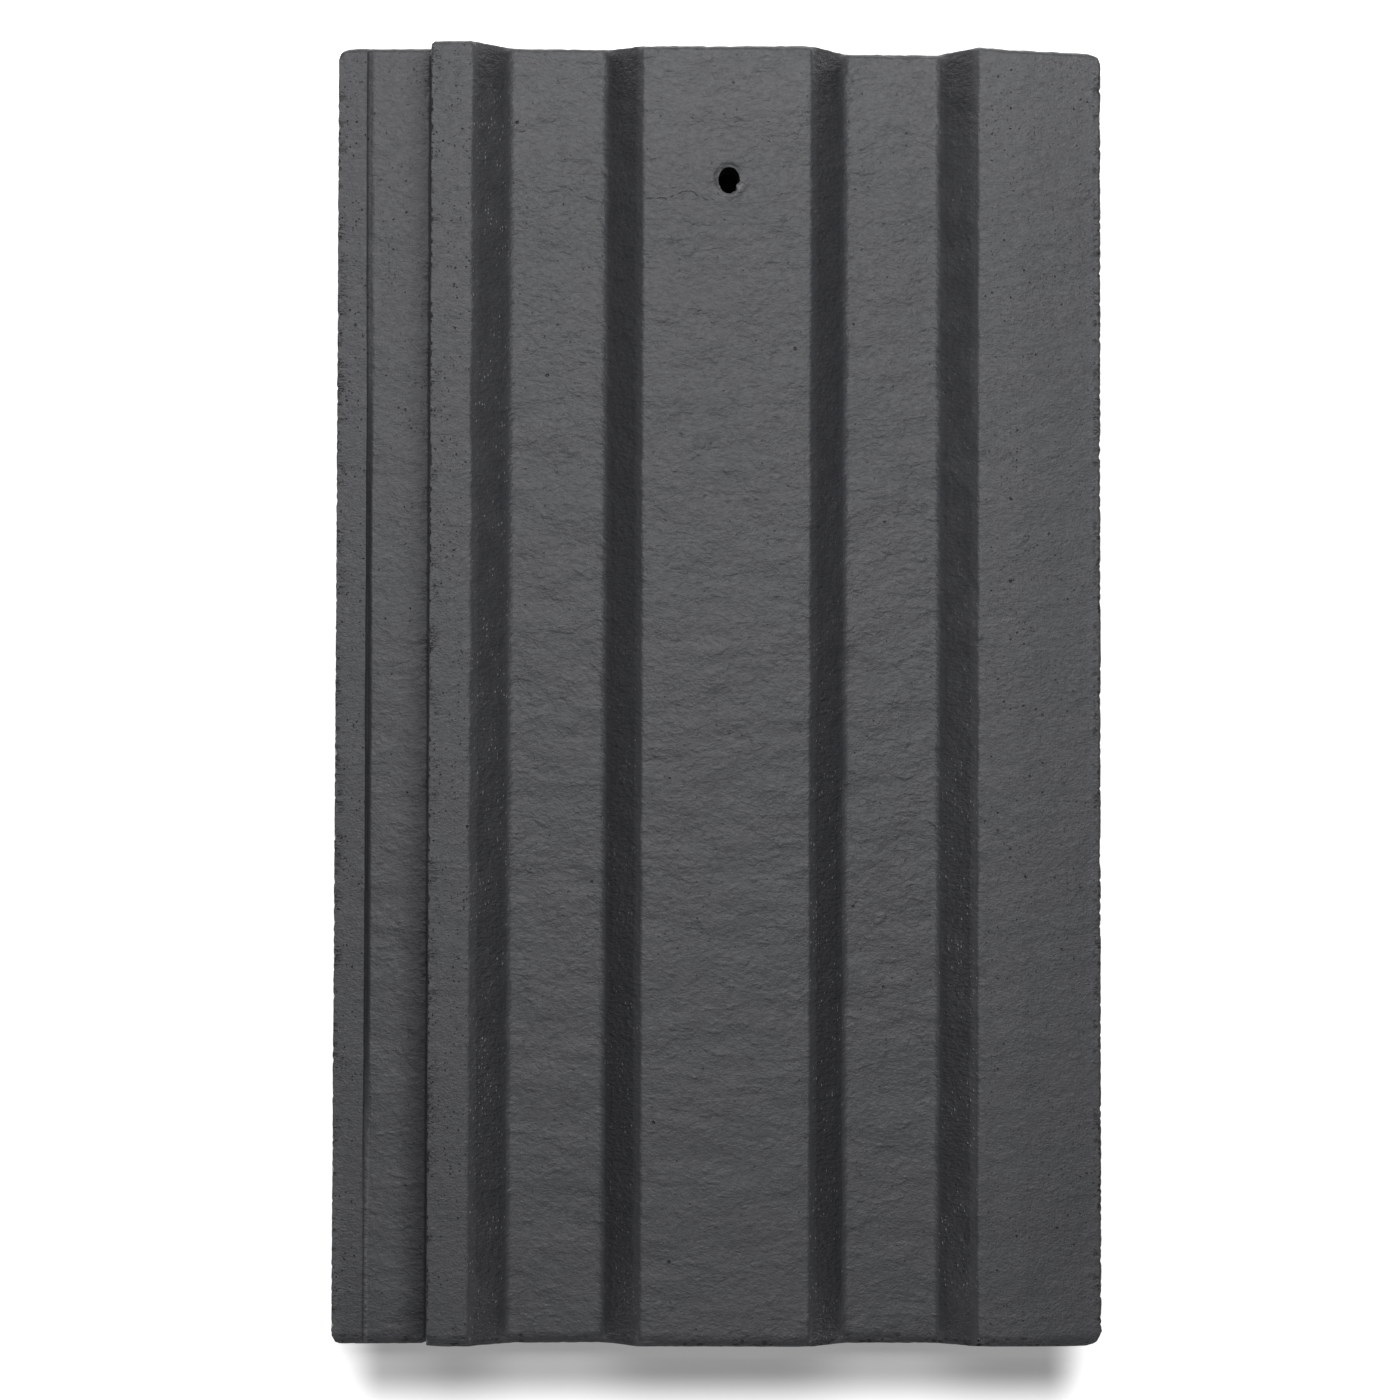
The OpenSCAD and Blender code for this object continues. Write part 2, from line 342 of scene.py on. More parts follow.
def slope_shares(x, y):
    """How rubbed, flecked, steep and scuffed each place is. The light flecks are partly painted glints."""
    rubbed_and_highlit, flecked_and_glinting, slope = np.zeros((3, len(x)))
    lower = 1 - ramp(y, 110, 250)
    for (a, b), (thin, dots, more) in zip(SLOPES, SLOPE_PAINT):
        on = shelf(x, a - 0.5, a + 1.0, b - 1.0, b + 0.5)
        rubbed_and_highlit += thin * on
        flecked_and_glinting += (dots + more * lower) * on
        slope += shelf(x, a + 0.5, a + 2, b - 2, b - 0.5)
    # a rubbed streak at the tail end of the third slope, and thicker paint on the right half of the first
    rubbed_and_highlit += 1.8 * bell(x, SLOPES[2][1] - 1.6, 1.0) * (1 - ramp(y, 6, 20))
    a, b = SLOPES[0]
    rubbed_and_highlit *= 1 - 0.35 * shelf(x, a + 5, a + 9, b, b + 1)
    return rubbed_and_highlit, flecked_and_glinting, slope, slope * (0.42 + 0.42 * lower)


def tear_hole(p, top, hole, turn, at_hole, moved):
    """Tears the nail hole's mouth taller than wide, with a burr at its lower right and a lip below it.

    Returns how chipped each place is there, and the dented ring at the hole's left, which is coloured near black.
    """
    across, up = np.cos(turn), np.sin(turn)
    ragged = Noise(41).layers(np.column_stack([across * 2.2, up * 2.2, p[:, 2] / 3]), 2, 0.6)
    frayed = Noise(42)(np.column_stack([across * 4.5, up * 4.5, p[:, 2] / 2]))
    burr = bell(turn, -0.62, 0.32)
    grow = 0.25 * ragged + 0.45 * np.maximum(0, -up) * frayed + 0.75 * np.abs(up) ** 3 - 0.75 * burr
    out = np.column_stack([across, up, np.zeros(len(p))])
    moved += out * (at_hole * grow)[:, None]
    lip = bell(turn, -1.3, 0.75) * bell(hole, HOLE_R + 1.2, 1.1)
    ring = ramp(np.abs(turn), 2.35, 2.75) * bell(hole, HOLE_R + 0.8, 0.35)
    dish = bell(turn, 1.3, 0.8) * bell(hole, HOLE_R, 2.2)
    moved[:, 2] += top * (0.35 * lip + 0.3 * burr * at_hole - 0.25 * ring - 0.45 * dish)
    return bell(turn, -0.55, 0.42) * bell(hole, HOLE_R + 0.7, 1.0) + 0.6 * lip, ring


def fill_groove(p, at_tail, shallow, moved):
    """Makes the groove shallow near both ends, where it also wanders to the left, and narrower between them."""
    x, y, z = p.T
    left, bottom, right = GROOVE_X
    depth = np.interp(x, GROOVE_X, (0, GROOVE_D, 0))
    filled = depth * ramp(x, bottom, bottom + 0.5)
    on_strip = z > UNDERLOCK_Z / 2
    moved[:, 2] += (0.65 * shallow * depth + at_tail * (0.1 * filled + 0.25 * depth)) * on_strip
    in_groove = shelf(x, left - 1.5, left, right, right + 1.5)
    moved[:, 0] -= in_groove * (0.45 * (1 - ramp(y, 10, 110)) + 0.3 * ramp(y, 280, 340))
    moved[:, 0] -= 0.35 * (1 - shallow) * shelf(x, bottom, right, right + 0.5, right + 2.5)


def out_of_true(p, moved):
    """The cut ends lean, the long lines wander, and the two long sides stand in a little."""
    x, y = p.T[:2]
    moved[:, 0] += np.interp(x, *zip(*ACROSS))
    moved[:, 1] += ramp(y, TILE_L - 30, TILE_L) * np.interp(x, *zip(*HEAD_EDGE))
    moved[:, 1] += (1 - ramp(y, 0, 30)) * np.interp(x, *zip(*TAIL_EDGE))
    moved[:, 0] += (1 - ramp(x, 0, 9)) * (0.07 + 0.46 * ramp(y, -60, 330))
    moved[:, 0] -= ramp(x, TILE_W - 9, TILE_W) * np.interp(y, *zip(*RIGHT_SIDE_IN))


def relieved(bm):
    """Moves the diced mesh's points and returns the shares that the material reads."""
    bm.verts.index_update()
    p = np.array([v.co for v in bm.verts])
    n = np.array([v.normal for v in bm.verts])
    x, y, z = p.T
    top = ramp(n[:, 2], 0.2, 0.6)
    under = ramp(-n[:, 2], 0.2, 0.6)
    ends = ramp(np.abs(n[:, 1]), 0.35, 0.75)
    from_right = TILE_W - x
    torn, waves, skin = torn_skin(p)
    rubbed_and_highlit, flecked_and_glinting, slope, scuffed = slope_shares(x, y)

    # small bites along the three long edges that the rollers leave, and the rough ends that the knife leaves
    tick = Noise(21).layers(np.column_stack([x / 4, y / 1.7, z / 5]), 2, 0.7)
    bite = 0.55 * ramp(tick, 0.12, 0.55) + 0.12 * (1 + Noise(22)(p / (6, 3.2, 5)))
    off_step = x - BODY_X - 0.4
    at_left = (1 - ramp(x, 0.2, 1.3)) * ramp(z, UNDERLOCK_Z - 4, UNDERLOCK_Z - 1)
    at_step = shelf(off_step, -0.5, -0.2, 0.3, 1.4) * ramp(z, RIB_Z - 4, RIB_Z - 1)
    at_right = (1 - ramp(from_right, 0.4, 1.6)) * ramp(z, RIB_Z - 9, RIB_Z - 4)
    end_noise = Noise(31).layers(p / (2.6, 3.0, 2.6), 2, 0.7)
    cut_back = np.where(y > TILE_L / 2, 0.25, 0.05)
    rough_end = ends * np.maximum(0, cut_back + 0.3 * end_noise)
    # where the skin is cracked beside an edge, where it is bitten at its very brink, and where an end turns down
    beside_step = 0.8 * (1 - ramp(np.abs(off_step - 0.4), 0.6, 2.6))
    edge = np.maximum.reduce([1 - ramp(x, 0.3, 3.2), beside_step, 1 - ramp(from_right, 0.6, 2.5)])
    brink = np.maximum.reduce([
        1 - ramp(from_right, 0.9, 2.0),
        0.8 * (1 - ramp(x, 0.3, 1.2)),
        0.9 * (1 - ramp(np.abs(off_step), 0.1, 0.6)),
        1 - ramp(y, 1.5, 3.5),
    ])
    rim = np.maximum(ramp(-n[:, 1], 0.3, 0.7), 0.85 * slope * ramp(np.abs(n[:, 1]), 0.06, 0.3))

    hole = np.hypot(x - HOLE_AT[0], y - HOLE_AT[1])
    turn = np.arctan2(y - HOLE_AT[1], x - HOLE_AT[0])
    at_hole = (1 - ramp(hole, HOLE_R + 0.2, HOLE_R + 2.2)) * ramp(z, PAN_Z, 18)

    push = skin * (top + 0.35 * under) - rough_end
    push -= 0.3 * (1 - top) * (1 - ends) * np.maximum(0, 0.3 + tick)
    push *= 1 - at_hole
    moved = p + n * push[:, None]
    moved[:, :2] += rounder(p)
    moved[:, 0] += (at_left + at_step - 0.6 * at_right) * bite
    chip, ring = tear_hole(p, top, hole, turn, at_hole, moved)
    at_tail = 1 - ramp(y, 35, 75)
    shallow = 1 - shelf(y, 62, 100, 240, 305)
    fill_groove(p, at_tail, shallow, moved)
    out_of_true(p, moved)
    for v, co in zip(bm.verts, moved):
        v.co = co

    # the groove's right lip is chipped near the tail; the left outer edge is lightened near the tail as a painted
    # highlight, and the right outer edge is lighter along its length
    chip += 0.5 * at_tail * bell(x, GROOVE_X[1] + 0.9, 0.6)
    rubbed_and_highlit += 2.0 * at_tail * (1 - ramp(x, 0.5, 4.5)) + 0.5 * (1 - ramp(from_right, 2, 6))
    # painted shade: darker in the corner beside the step, more so towards the tail, in the groove, and at the slopes'
    # ends
    toward_tail = (1 - ramp(y, 20, 260)) * (0.8 + 0.2 * ramp(y, 20, 90))
    painted_shade = 0.42 * toward_tail * shelf(x, 17.5, 26, BODY_X, BODY_X + 0.5)
    painted_shade += 0.4 * (1 - shallow) * bell(x, GROOVE_X[1] + 0.45, 0.5)
    painted_shade += 0.35 * shallow * bell(x, GROOVE_X[1], 0.3)
    painted_shade += slope * (0.3 * ramp(y, 358, 385) + 0.2 * (1 - ramp(y, 4, 16)))
    # painted shade: the bore's walls are coloured near black; the ring at the hole's left is coloured near black too
    bore = (1 - ramp(hole, HOLE_R + 0.3, HOLE_R + 0.9)) * (1 - ramp(n[:, 2], 0.3, 0.8))
    return {
        "torn": torn * top,
        "waves": waves * top,
        "edge": edge,
        "brink": brink,
        "rim": rim,
        # the head end, where the paint is lightened as a painted highlight and given more sheen
        "head": ramp(y, 335, 390) * (0.25 + 0.75 * ramp(x, 35, 55)) * top,
        "rubbed_and_highlit": rubbed_and_highlit * top,
        "flecked_and_glinting": flecked_and_glinting * top,
        "slope": slope * top,
        "scuffed": scuffed * top,
        "chip": chip * top,
        "painted_shade": painted_shade * top,
        "under": under,
        "bore": np.maximum(bore, 0.75 * ring * top),
    }


def shown_tile():
    """The tile as one closed mesh, which carries the shares for its material."""
    bm = diced_tile()
    shares = relieved(bm)
    bm.transform(TO_ROW)
    mesh = bpy.data.meshes.new("tile_skin")
    bm.to_mesh(mesh)
    bm.free()
    for name, values in shares.items():
        made = mesh.attributes.new(name, "FLOAT", "POINT")
        made.data.foreach_set("value", values.astype(np.float32))
    keep_inside(mesh)
    mesh.shade_smooth()
    obj = bpy.data.objects.new("tile_skin", mesh)
    bpy.context.scene.collection.objects.link(obj)
    return obj


def keep_inside(mesh):
    """Points that noise pushed past the CAD box go back to its face."""
    co = np.zeros(len(mesh.vertices) * 3, np.float32)
    mesh.vertices.foreach_get("co", co)
    co = co.reshape(-1, 3)
    co = np.clip(co, np.array(cad_box[0]) + 1e-6, np.array(cad_box[1]) - 1e-6)
    mesh.vertices.foreach_set("co", co.ravel())
    mesh.update()


# --- materials --------------------------------------------------------------------------------------------------------


class Nodes:
    """A new material's node tree, with short calls to fill it."""

    def __init__(self, name):
        self.material = bpy.data.materials.new(name)
        self.material.use_nodes = True
        self.tree = self.material.node_tree
        self.tree.nodes.clear()

    def add(self, kind, inputs=(), **settings):
        node = self.tree.nodes.new(kind)
        for name, value in settings.items():
            setattr(node, name, value)
        for name, value in dict(inputs).items():
            self.put(node.inputs[name], value)
        return node

    def put(self, socket, value):
        """Links a socket to another's value, or sets it to a constant."""
        if isinstance(value, bpy.types.NodeSocket):
            self.tree.links.new(value, socket)
        else:
            socket.default_value = value

    def math(self, operation, a, b=0.0, c=0.0):
        node = self.add("ShaderNodeMath", operation=operation)
        for socket, value in zip(node.inputs, (a, b, c)):
            self.put(socket, value)
        return node.outputs[0]

    def scaled(self, vector, by):
        """The vector with each component multiplied by its own number."""
        node = self.add("ShaderNodeVectorMath", operation="MULTIPLY")
        self.put(node.inputs[0], vector)
        self.put(node.inputs[1], by)
        return node.outputs[0]

    def noise(self, mm, size, detail=2.0, rough=0.5, warp=0.0):
        """Noise whose blobs are about that size in millimetres, along x, y and z."""
        at = self.scaled(mm, [1 / v for v in size])
        node = self.add(
            "ShaderNodeTexNoise",
            {"Vector": at, "Scale": 1.0, "Detail": detail, "Roughness": rough, "Distortion": warp},
        )
        return node.outputs["Fac"]

    def step(self, value, low, high, to_low=0.0, to_high=1.0):
        """A smooth change from to_low, where the value is low, to to_high, where it is high."""
        node = self.add(
            "ShaderNodeMapRange",
            {"Value": value, "From Min": low, "From Max": high, "To Min": to_low, "To Max": to_high},
            interpolation_type="SMOOTHSTEP",
        )
        return node.outputs["Result"]

    def mix(self, share, a, b):
        """Colour a where the share is 0, and b where it is 1."""
        node = self.add("ShaderNodeMix", data_type="RGBA")
        for socket, value in zip((node.inputs[0], node.inputs[6], node.inputs[7]), (share, a, b)):
            self.put(socket, value)
        return node.outputs[2]

    def pits(self, mm, apart, size, share):
        """Round pits, 0 outside to 1 at the bottom: size is the widest across, share how many cells have one."""
        cell = self.add("ShaderNodeTexVoronoi", {"Vector": self.scaled(mm, (1 / apart,) * 3), "Scale": 1.0})
        pick = self.add("ShaderNodeSeparateColor", {"Color": cell.outputs["Color"]}).outputs["Red"]
        radius = self.step(pick, 1.0 - share, 1.0, 1e-4, size / apart)
        depth = self.math("SUBTRACT", 1.0, self.math("DIVIDE", cell.outputs["Distance"], radius))
        return self.step(depth, 0.0, 0.6)

    def frayed(self, mm, grain, by):
        """The place, shaken by a noise of that grain and that reach, so that round things come out ragged."""
        at = self.scaled(mm, (1 / grain,) * 3)
        noise = self.add("ShaderNodeTexNoise", {"Vector": at, "Scale": 1.0, "Detail": 1.0})
        off = self.add("ShaderNodeVectorMath", operation="MULTIPLY_ADD")
        self.put(off.inputs[0], noise.outputs["Color"])
        self.put(off.inputs[1], (by, by, by))
        self.put(off.inputs[2], mm)
        return off.outputs[0]

    def band(self, value, low, high, blur):
        """1 between low and high, falling to 0 at them over the blur inside."""
        rise = self.step(value, low, low + blur)
        return self.math("MULTIPLY", rise, self.step(value, high - blur, high, 1.0, 0.0))

    def share(self, name):
        """One of the mesh's shares, from relieved()."""
        return self.add("ShaderNodeAttribute", attribute_name=name).outputs["Fac"]


# The thin crack's corners, from the rib's shoulder to the nail hole
HAIRLINE = ((91.8, 340.6), (98.4, 340.6), (104.4, 342.9), (112.1, 339.8))


def hairline(n, mm):
    """The thin crack that runs from the rib's shoulder to the nail hole, 1 along it."""
    ends = [TO_ROW @ Vector((x, y, RIB_Z)) / MM for x, y in HAIRLINE]
    at = n.add("ShaderNodeSeparateXYZ", {"Vector": mm}).outputs
    middle = n.step(at[0], ends[1].x, ends[2].x, ends[1].y, ends[2].y)
    fall = n.step(at[0], ends[2].x, ends[3].x, 0.0, ends[3].y - ends[2].y)
    wander = n.noise(mm, (2.5, 2.5, 2.5), 3.0, 0.7)
    off = n.math("SUBTRACT", at[1], n.math("ADD", middle, fall))
    off = n.math("ABSOLUTE", n.math("MULTIPLY_ADD", n.math("SUBTRACT", wander, 0.5), 2.2, off))
    line = n.step(off, 0.04, 0.2, 1.0, 0.0)
    broken = n.step(n.noise(mm, (1.6, 1.6, 1.6), 1.0), 0.36, 0.52, 0.05, 0.5)
    return n.math("MULTIPLY", n.math("MULTIPLY", line, broken), n.band(at[0], ends[0].x, ends[3].x, 1.5))


# Colours of the paint in two shades, of its dark grains, and of the thinner paint on the slopes with its blotches,
# which is darker partly as painted shade
PAINT = ((0.0555, 0.0568, 0.0622, 1), (0.0528, 0.0556, 0.0618, 1))
PAINT_DARK = (0.047, 0.0485, 0.0535, 1)
THIN_AND_SHADED_PAINT = ((0.0370, 0.0380, 0.0420, 1), (0.0545, 0.0560, 0.0610, 1))
BLOTCH = (0.024, 0.025, 0.028, 1)
# Colours of the painted highlight, of rubbed paint that is a painted highlight at the tail's left edge, of light flecks
# that are partly painted glints, of fresh chips, of painted shade in pits and cracks, of the bare underside in two
# shades, and of painted shade
PAINTED_HIGHLIGHT = (0.11, 0.112, 0.118, 1)
WORN_AND_HIGHLIT = (0.085, 0.087, 0.092, 1)
FLECK_AND_GLINT = (0.21, 0.21, 0.215, 1)
FRESH = (0.2, 0.2, 0.205, 1)
PAINTED_PIT_SHADE = (0.012, 0.012, 0.013, 1)
BARE = ((0.06, 0.06, 0.06, 1), (0.105, 0.104, 0.102, 1))
PAINTED_SHADE_BLACK = (0.006, 0.006, 0.006, 1)


def painted_concrete():
    """Dark grey paint, thin and partly painted shade on the slopes, over concrete with pits, cracks, flecks and chips.
    """
    n = Nodes("painted_concrete")
    place = n.add("ShaderNodeTexCoord").outputs["Object"]
    mm = n.scaled(place, (1 / MM, 1 / MM, 1 / MM))
    torn, waves, edge, brink, rim, head = (n.share(k) for k in ("torn", "waves", "edge", "brink", "rim", "head"))
    slope, scuffed, rubbed_and_highlit, flecked_and_glinting = (n.share(k) for k in ("slope", "scuffed", "rubbed_and_highlit", "flecked_and_glinting"))
    chip, painted_shade, under, bore = (n.share(k) for k in ("chip", "painted_shade", "under", "bore"))

    # noises that the relief and the colours share
    ripple = n.noise(mm, (3.1, 2.3, 2.6), 4.0, 0.6, 0.1)
    stria = n.noise(mm, (2.2, 1.0, 2.2), 3.0, 0.62)
    grain = n.noise(mm, (0.8, 0.65, 0.8), 3.0, 0.65)
    cluster = n.noise(mm, (9, 9, 9), 2.0, 0.5)
    smooth_strip = n.step(torn, 0.3, 0.65, 1.0, 0.0)

    # pits, bites at the brinks, cracks beside the edges, and flecks, with painted shade in the pits, bites and cracks
    frayed = n.frayed(mm, 0.55, 0.7)
    small_pits = n.math("MULTIPLY", n.pits(frayed, 1.9, 0.4, 0.22), n.step(torn, 0.4, 0.8, 1.0, 0.5))
    pits = n.math("MAXIMUM", n.pits(frayed, 4.6, 0.62, 0.1), small_pits)
    patch = n.math("MULTIPLY", smooth_strip, n.step(cluster, 0.42, 0.52))
    pits = n.math("MAXIMUM", pits, n.math("MULTIPLY", patch, n.pits(frayed, 0.9, 0.34, 0.35)))
    bites = n.pits(n.scaled(frayed, (0.8, 1.15, 1.0)), 1.7, 1.3, 0.55)
    pits = n.math("MAXIMUM", pits, n.math("MULTIPLY", brink, bites))
    crack_at = n.noise(mm, (3.4, 0.9, 2.0), 2.0, 0.6, 0.4)
    crack = n.step(n.math("ABSOLUTE", n.math("SUBTRACT", crack_at, 0.5)), 0.0, 0.022, 1.0, 0.0)
    crack = n.math("MULTIPLY", crack, n.math("MULTIPLY", edge, n.step(cluster, 0.53, 0.6)))
    holes = n.math("MAXIMUM", n.math("MAXIMUM", pits, crack), hairline(n, mm))
    flecks_and_glints = n.pits(n.scaled(mm, (1.3, 0.8, 1.1)), 1.1, 0.5, 0.55)
    flecks_and_glints = n.math("MULTIPLY", flecks_and_glints, n.math("MULTIPLY", flecked_and_glinting, n.step(cluster, 0.42, 0.56)))

    # relief finer than the mesh, in millimetres
    tears = n.step(n.noise(mm, (6.5, 3.4, 6.0), 2.0, 0.55), 0.54, 0.72)
    coarse = n.math("MULTIPLY", waves, n.math("MULTIPLY_ADD", tears, 0.24, 0.42))
    height = n.math("MULTIPLY", ripple, n.math("ADD", coarse, 0.08))
    height = n.math("MULTIPLY_ADD", scuffed, stria, height)
    height = n.math("MULTIPLY_ADD", chip, n.math("MULTIPLY", stria, 0.8), height)
    height = n.math("MULTIPLY_ADD", grain, n.math("MULTIPLY_ADD", smooth_strip, 0.07, 0.16), height)
    height = n.math("MULTIPLY_ADD", holes, -0.3, height)
    height = n.math("MULTIPLY_ADD", flecks_and_glints, 0.25, height)
    bump = n.add("ShaderNodeBump", {"Strength": 1.0, "Distance": MM, "Height": height})

    # the paint, the thinner paint on the slopes that is darker partly as painted shade, and what lies on them or shows
    # through
    cloud = n.noise(mm, (30, 22, 30), 3.0, 0.55)
    tint = n.mix(n.step(cloud, 0.35, 0.65), *PAINT)
    speck = n.mix(n.step(grain, 0.35, 0.62), PAINT_DARK, tint)
    dust = n.noise(mm, (0.6, 0.4, 0.6), 2.0, 0.7)
    shaded_slope_paint = n.mix(n.step(dust, 0.36, 0.66), *THIN_AND_SHADED_PAINT)
    # painted highlight: the paint is lightened towards the head end, and a little on the tail's rounded end and the
    # slopes' ends
    speck = n.mix(n.math("MULTIPLY", head, 0.13), speck, PAINTED_HIGHLIGHT)
    speck = n.mix(n.math("MULTIPLY", rim, 0.25), speck, PAINTED_HIGHLIGHT)
    blotch = n.step(n.noise(mm, (3.2, 2.0, 3.2), 2.0, 0.6), 0.36, 0.64, 0.0, 0.22)
    shaded_slope_paint = n.mix(blotch, shaded_slope_paint, BLOTCH)
    # the slopes take the thinner paint, darkened partly as painted shade
    speck = n.mix(slope, speck, shaded_slope_paint)
    # rubbed paint, which at the left edge near the tail is a painted highlight
    worn_and_highlit = n.math("MULTIPLY", rubbed_and_highlit, n.step(cluster, 0.3, 0.7, 0.2, 0.5))
    colour = n.mix(worn_and_highlit, speck, WORN_AND_HIGHLIT)
    # light flecks, partly painted glints
    colour = n.mix(n.math("MULTIPLY", flecks_and_glints, 0.85), colour, FLECK_AND_GLINT)
    colour = n.mix(n.math("MULTIPLY", chip, n.step(stria, 0.35, 0.6)), colour, FRESH)
    # painted shade: pits, bites and cracks coloured near black
    colour = n.mix(holes, colour, PAINTED_PIT_SHADE)
    bare = n.mix(n.step(grain, 0.4, 0.6), *BARE)
    colour = n.mix(under, colour, bare)
    # painted shade: near black in the bore, in the corner beside the step, in the groove and at the slopes' ends
    colour = n.mix(n.math("MAXIMUM", bore, painted_shade), colour, PAINTED_SHADE_BLACK)

    # the sheen, which is taken off where shade is painted and mostly off the turned-down ends, and raised at the head
    # end
    mottle = n.noise(mm, (1.8, 1.1, 1.6), 4.0, 0.65)
    sheen = n.math("MULTIPLY_ADD", n.step(mottle, 0.2, 0.8, -0.5, 0.5), 0.3, n.math("MULTIPLY_ADD", head, 0.06, 0.5))
    sheen = n.math("MULTIPLY", sheen, n.math("SUBTRACT", 1.0, n.math("MAXIMUM", painted_shade, n.math("MULTIPLY", rim, 0.75))))
    rough = n.math("MULTIPLY_ADD", grain, 0.12, 0.34)
    rough = n.math("MULTIPLY_ADD", n.math("MAXIMUM", n.math("MAXIMUM", under, bore), rim), 0.25, rough)
    shader = n.add(
        "ShaderNodeBsdfPrincipled",
        {"Base Color": colour, "Roughness": rough, "Specular IOR Level": sheen, "Normal": bump.outputs["Normal"]},
    )
    n.add("ShaderNodeOutputMaterial", {"Surface": shader.outputs[0]})
    return n.material


# How much the floor glows, so that the paper looks white and not grey
FLOOR_GLOW = 0.8
# Where a shadow is painted by dimming the glow, in metres: under the tile from this far inside its edges, over this
# blur
UNDER_INSET, UNDER_BLUR = 0.006, 0.014
# and past the tail, this far from it and over this blur, with a blur at both sides
TAIL_REACH, TAIL_BLUR, SIDES_BLUR = 0.026, 0.0167, 0.016
# How much of the glow the painted shadow takes at the tail's foot, and farther out where less light is shaded
NEAR_LOSS, FAR_LOSS = 0.79, 0.94
PAPER = (0.88, 0.88, 0.88, 1)
# painted shade for the floor below the nail hole
PAINTED_SHADOW_SPOT = (0.01, 0.01, 0.01, 1)


def floor_paper():
    """White paper that keeps the tile's shadow. Its glow is taken away under the tile and dimmed past its tail: painted
    shadow.

    Below the nail hole a dark spot is painted as shade, and from underneath it is clear.
    """
    n = Nodes("floor_paper")
    rays = n.add("ShaderNodeLightPath").outputs
    seen = n.math("MAXIMUM", rays["Is Camera Ray"], rays["Is Glossy Ray"])
    seen = n.math("MAXIMUM", seen, rays["Is Transmission Ray"])
    place = n.add("ShaderNodeTexCoord").outputs["Object"]
    split = n.add("ShaderNodeSeparateXYZ", {"Vector": place}).outputs
    low, high = cad_box
    # painted shade: no glow under the tile
    under = n.math(
        "MULTIPLY",
        n.band(split[0], low[0] + UNDER_INSET, high[0] - UNDER_INSET, UNDER_BLUR),
        n.band(split[1], low[1] + UNDER_INSET, high[1] - UNDER_INSET, UNDER_BLUR),
    )
    # painted shadow past the tail: the glow is dimmed there
    past_tail = n.math(
        "MULTIPLY",
        n.band(split[0], low[0] - 0.0001, high[0] + 0.0014, SIDES_BLUR),
        n.band(split[1], low[1] - TAIL_REACH, high[1], TAIL_BLUR),
    )
    painted_shadow_depth = n.step(split[1], low[1] - 0.0105, low[1] - 0.0045, FAR_LOSS, NEAR_LOSS)
    # a dark spot below the nail hole, painted shade so that the hole looks black
    below_hole = TO_ROW @ Vector((HOLE_AT[0] + 1, HOLE_AT[1] + 3.7, 0.0))
    spot = (below_hole.x, below_hole.y, low[2])
    away = n.add("ShaderNodeVectorMath", {0: place, 1: spot}, operation="DISTANCE")
    white = n.step(away.outputs["Value"], 0.006, 0.012)
    paper = n.add("ShaderNodeBsdfDiffuse", {"Color": n.mix(white, PAINTED_SHADOW_SPOT, PAPER)})
    painted_shadow = n.math("MAXIMUM", under, n.math("MULTIPLY", past_tail, painted_shadow_depth))
    glow = n.math("MULTIPLY", seen, n.math("MULTIPLY_ADD", painted_shadow, -FLOOR_GLOW, FLOOR_GLOW))
    light = n.add("ShaderNodeEmission", {"Color": (1, 1, 1, 1), "Strength": glow})
    both = n.add("ShaderNodeAddShader", {0: paper.outputs[0], 1: light.outputs[0]})
    back = n.add("ShaderNodeNewGeometry").outputs["Backfacing"]
    clear = n.add("ShaderNodeBsdfTransparent")
    shown = n.add("ShaderNodeMixShader", {0: back, 1: both.outputs[0], 2: clear.outputs[0]})
    n.add("ShaderNodeOutputMaterial", {"Surface": shown.outputs[0]})
    return n.material


# --- the scene --------------------------------------------------------------------------------------------------------


FLOOR_RADIUS = 20.0
FLOOR_GAP = 0.0001  # keeps the floor off the tile's lowest points


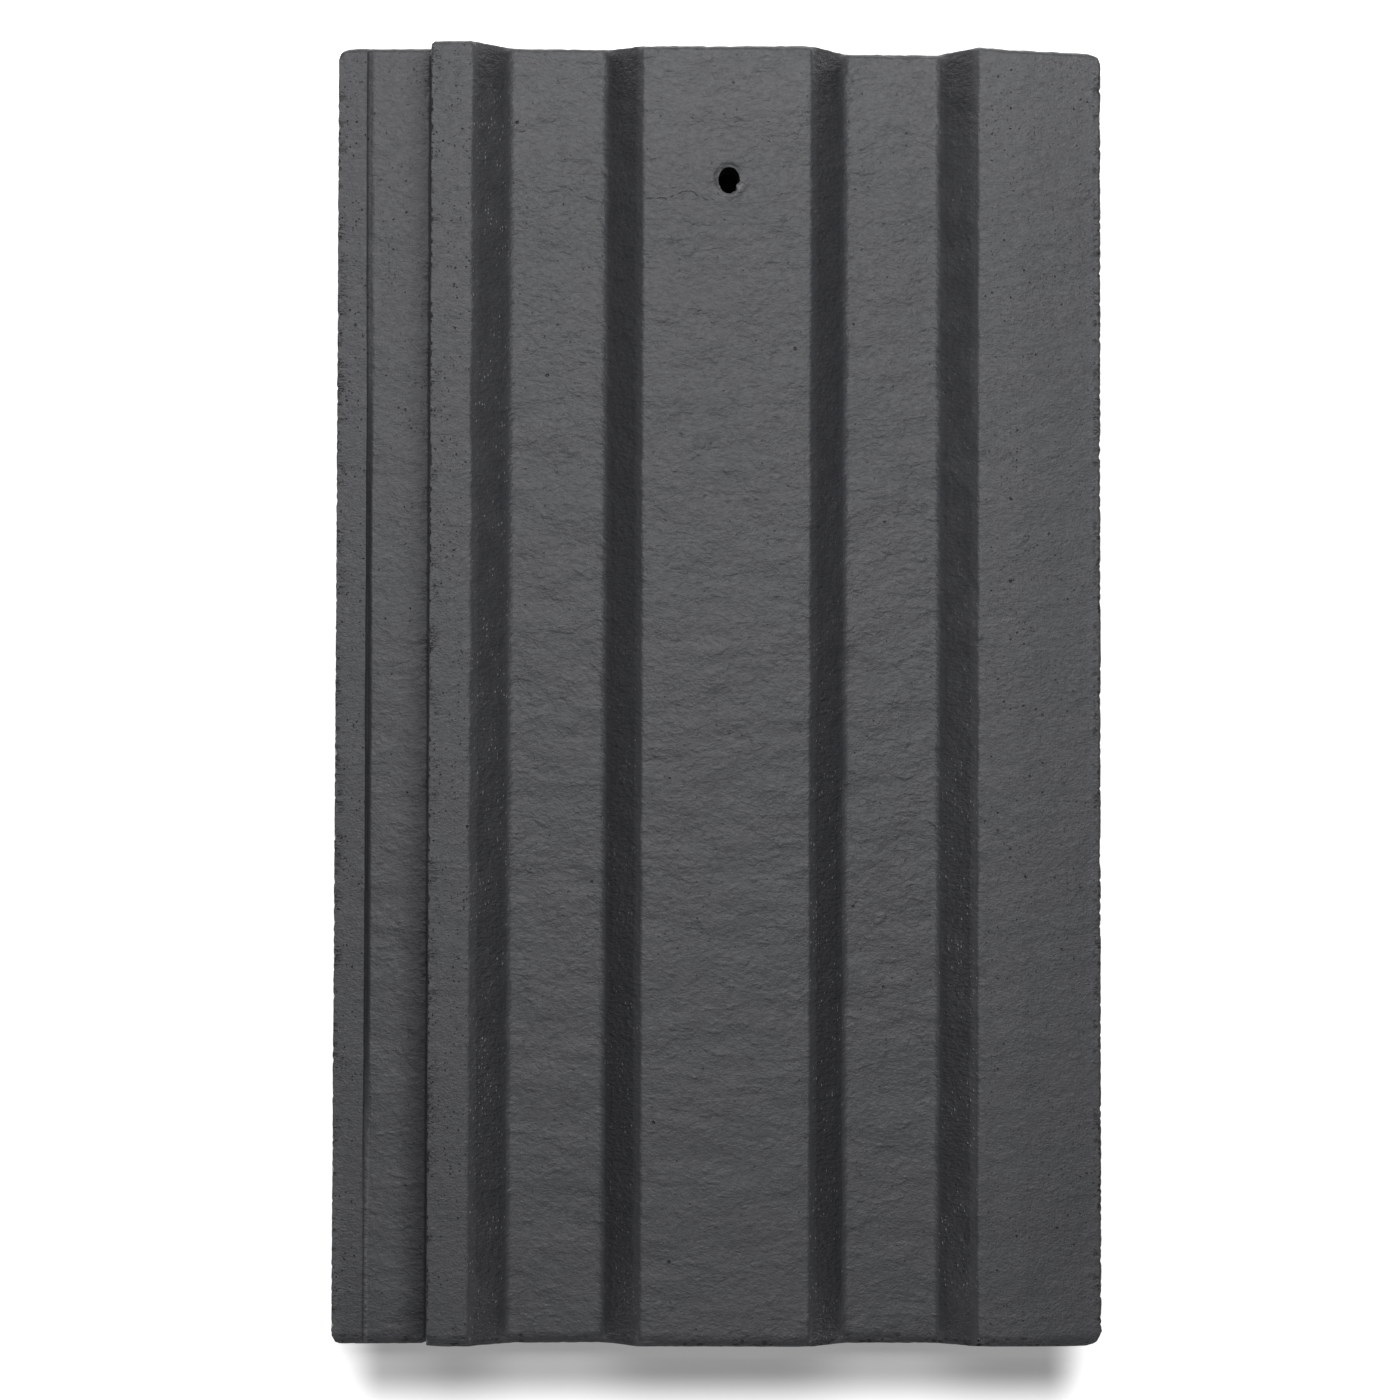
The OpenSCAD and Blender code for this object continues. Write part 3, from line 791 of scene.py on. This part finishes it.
def floor():
    """A wide round floor just below the tile."""
    bm = bmesh.new()
    bmesh.ops.create_circle(bm, cap_ends=True, segments=64, radius=FLOOR_RADIUS)
    bmesh.ops.translate(bm, verts=bm.verts, vec=(0, 0, cad_box[0][2] - FLOOR_GAP))
    mesh = bpy.data.meshes.new("floor")
    bm.to_mesh(mesh)
    bm.free()
    mesh.materials.append(floor_paper())
    obj = bpy.data.objects.new("floor", mesh)
    bpy.context.scene.collection.objects.link(obj)


def lamp(name, at, aim, size, radiance):
    """A soft box of that size in metres and that radiance, turned to a point."""
    light = bpy.data.lights.new(name, "AREA")
    light.shape = "RECTANGLE"
    light.size, light.size_y = size
    light.energy = radiance * math.pi * size[0] * size[1]
    obj = bpy.data.objects.new(name, light)
    obj.location = at
    obj.rotation_euler = (Vector(aim) - Vector(at)).to_track_quat("-Z", "Y").to_euler()
    bpy.context.scene.collection.objects.link(obj)


def studio():
    """Two soft boxes at the same height, a large one past the head and a small one past the tail, and a dim room."""
    lamp("head_box", (0.01, 0.59, 0.80), (0.01, 0.59, 0.0), (0.88, 1.19), 2.95)
    lamp("tail_box", (0.0, -0.29, 0.80), (0.0, -0.29, 0.0), (0.38, 0.21), 3.1)
    world = bpy.data.worlds.new("room")
    world.use_nodes = True
    sky = world.node_tree.nodes["Background"].inputs
    sky["Color"].default_value = (1, 1, 1, 1)
    sky["Strength"].default_value = 0.08
    bpy.context.scene.world = world


CAMERA_AT = (65.8, 152.3, 1365.4)
CAMERA_TURN = (-1.67, 1.85, -0.20)  # degrees
CAMERA_LENS = 116.4


def camera():
    """Looks down at the tile from 1.36 m, from a little left of its middle and towards its tail."""
    data = bpy.data.cameras.new("camera")
    data.sensor_width = 36.0
    data.lens = CAMERA_LENS
    turn = Euler([math.radians(a) for a in CAMERA_TURN], "XYZ").to_matrix().transposed()
    place = TO_ROW @ Vector(CAMERA_AT)
    level = Matrix.Rotation(tilt, 3, "X")
    obj = bpy.data.objects.new("camera", data)
    obj.matrix_world = Matrix.Translation(place) @ (level @ turn).to_4x4()
    bpy.context.scene.collection.objects.link(obj)
    bpy.context.scene.camera = obj


tile = shown_tile()
tile.data.materials.append(painted_concrete())
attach(tile, "root")
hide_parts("tile")
camera()
studio()
floor()
bpy.context.scene.view_settings.view_transform = "Standard"
